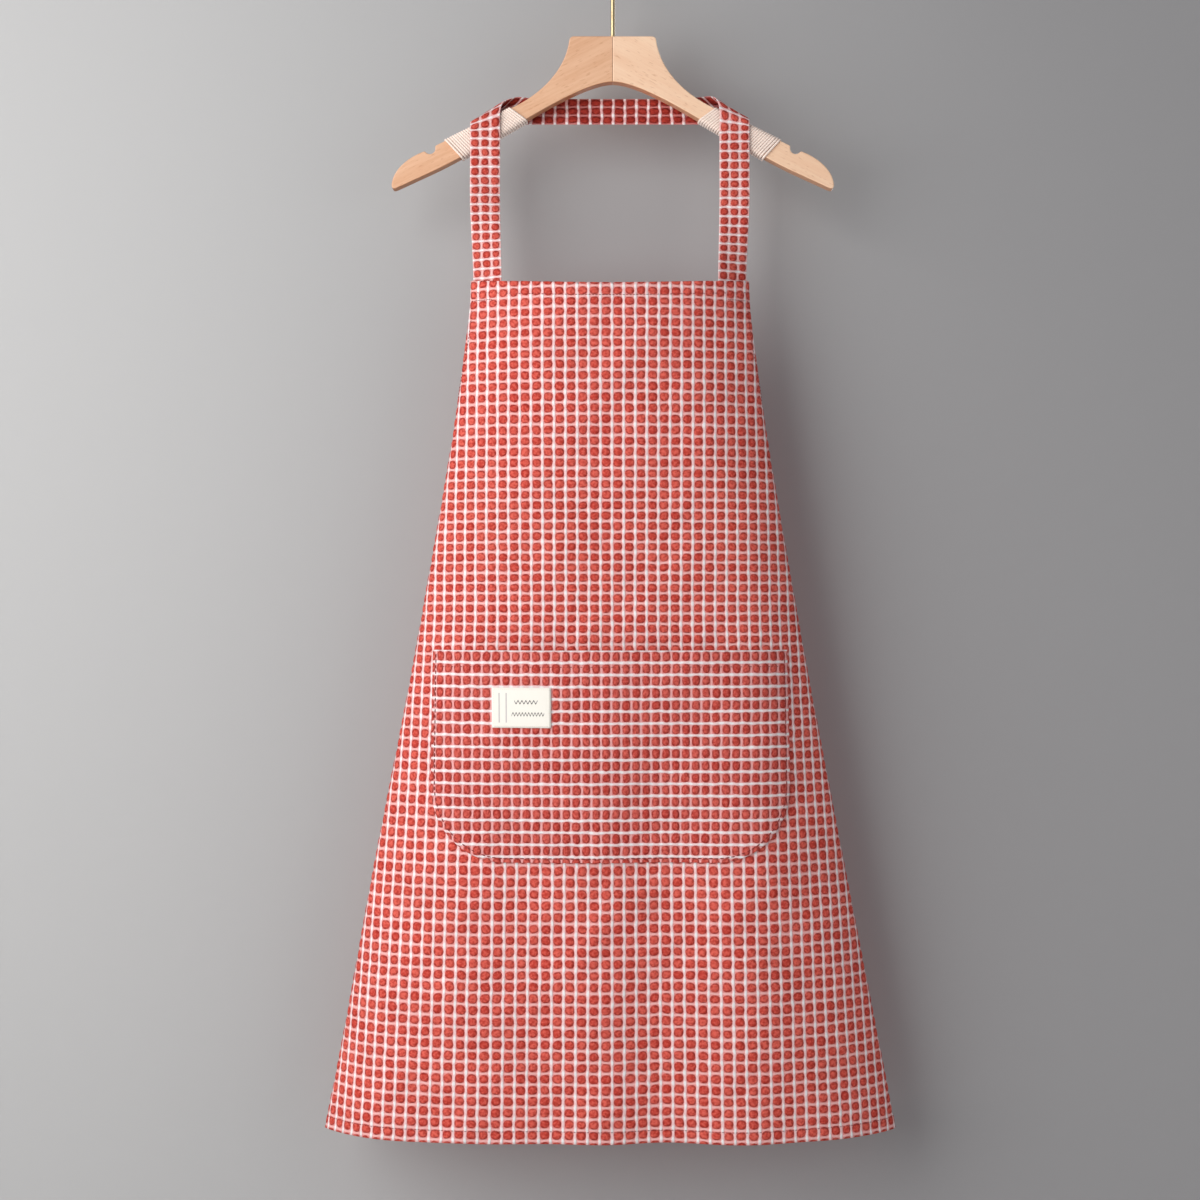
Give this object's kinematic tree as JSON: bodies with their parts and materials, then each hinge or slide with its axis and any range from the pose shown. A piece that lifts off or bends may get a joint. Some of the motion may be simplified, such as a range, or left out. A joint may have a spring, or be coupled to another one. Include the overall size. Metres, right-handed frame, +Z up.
{
  "type": "apron on a hanger",
  "caption": "Check cotton bib apron with a wide patch pocket, hung by its neck strap on a flat wooden clothes hanger with cord-wound arms and a wire hook.",
  "frame": {"origin": "rail seat: the inside top of the hook's round bend, on the shank's axis", "axes": "+Z up, +X to the right seen from the front, +Y to the back, so the front faces -Y"},
  "size_m": [0.5706, 0.1126, 1.1852],
  "materials": {
    "brass": "bright drawn wire",
    "beech_left": "clear satin lacquer on beech",
    "beech_right": "clear satin lacquer on beech",
    "cotton_cord": "twisted undyed cotton cord",
    "check_cotton": "puckered red and white woven check",
    "cream_cotton": "plain cream cotton",
    "red_thread": "dark red sewing thread",
    "cream_thread": "cream sewing thread"
  },
  "bodies": {
    "hook": {"hook_wire": "brass"},
    "hanger": {"swivel_sleeve": "brass", "hanger_left_half": "beech_left", "hanger_right_half": "beech_right", "cord_winding_left": "cotton_cord", "cord_winding_right": "cotton_cord"},
    "apron": {"body_panel": "check_cotton", "neck_strap": "check_cotton", "pocket": "check_cotton", "label": "cream_cotton", "waist_tie_left": "check_cotton", "waist_tie_right": "check_cotton", "bib_hem_stitch": "red_thread", "bottom_hem_stitch": "red_thread", "pocket_edge_stitch": "red_thread", "pocket_mouth_stitch": "red_thread", "label_stitch": "cream_thread", "side_stitch_left": "red_thread", "side_stitch_right": "red_thread", "strap_tack_left": "red_thread", "strap_tack_right": "red_thread", "tie_tack_left": "red_thread", "tie_tack_right": "red_thread"}
  },
  "joints": [
    {"name": "hook_swivel", "type": "hinge", "parent": "hook", "child": "hanger", "pos_m": [0, 0, 0], "axis": [0, 0, 1], "continuous": true},
    {"name": "apron_lift", "type": "slide", "parent": "hanger", "child": "apron", "axis": [0, 0, 1], "range_m": [0, 0.2]}
  ]
}
